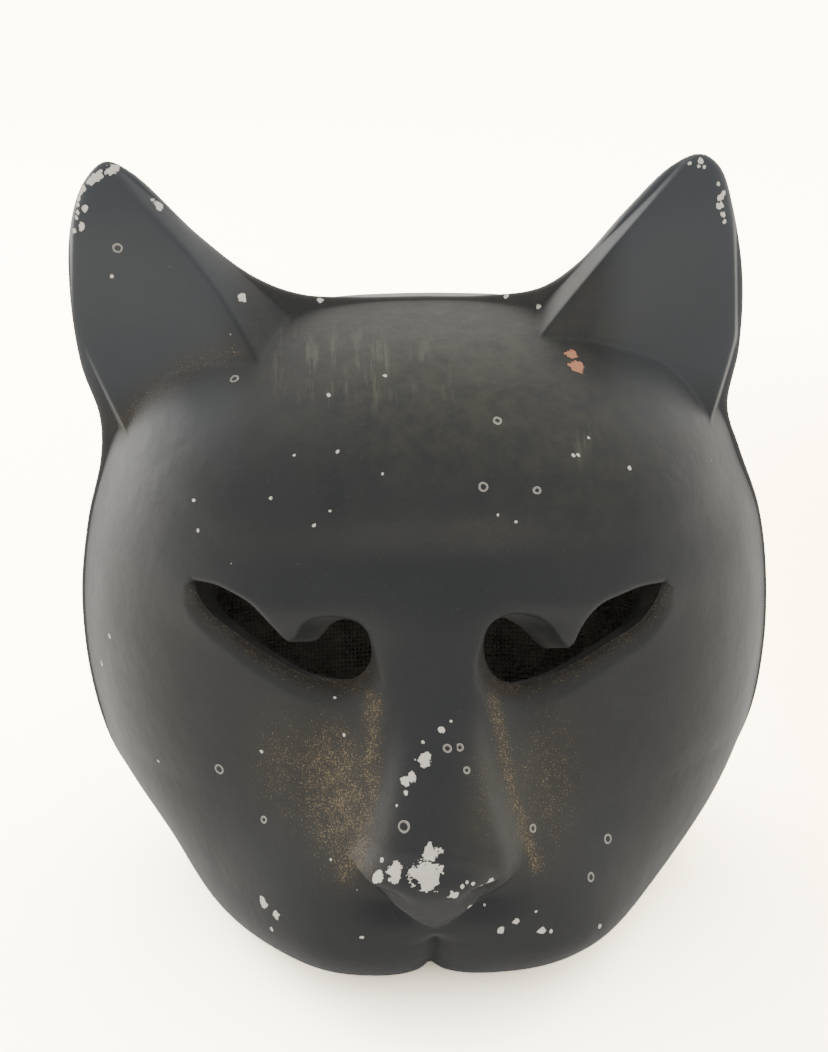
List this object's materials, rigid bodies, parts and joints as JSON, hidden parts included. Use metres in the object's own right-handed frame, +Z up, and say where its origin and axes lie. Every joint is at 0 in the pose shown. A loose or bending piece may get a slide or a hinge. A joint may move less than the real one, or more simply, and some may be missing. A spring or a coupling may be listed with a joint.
{
  "type": "plaster mold",
  "caption": "hollow cast-plaster cat head with tall hollowed ears, cut-through slanted eyes and a broad snout, painted matt black and chipped, open at the neck",
  "frame": {"origin": "on the table, under the centre of the head's bounding box", "axes": "+Z up, the face looks along -Y, +X to the right as seen from in front"},
  "size_m": [0.2033, 0.1725, 0.2138],
  "materials": {
    "black_painted_plaster": "cast gypsum plaster under matt black paint with a soft sheen, white chips and small casting bubbles",
    "scrim_plaster": "hessian scrim soaked in plaster, raw inside, with black paint gone over it round the eyes",
    "galvanised_wire": "dull galvanised wire"
  },
  "bodies": {
    "root": {"front_shell": "black_painted_plaster", "back_shell": "black_painted_plaster", "front_scrim_lining": "scrim_plaster", "back_scrim_lining": "scrim_plaster", "seam_bandage_left": "scrim_plaster", "seam_bandage_right": "scrim_plaster", "seam_bandage_crown": "scrim_plaster", "ear_wire_left": "galvanised_wire", "ear_wire_right": "galvanised_wire"}
  },
  "joints": []
}
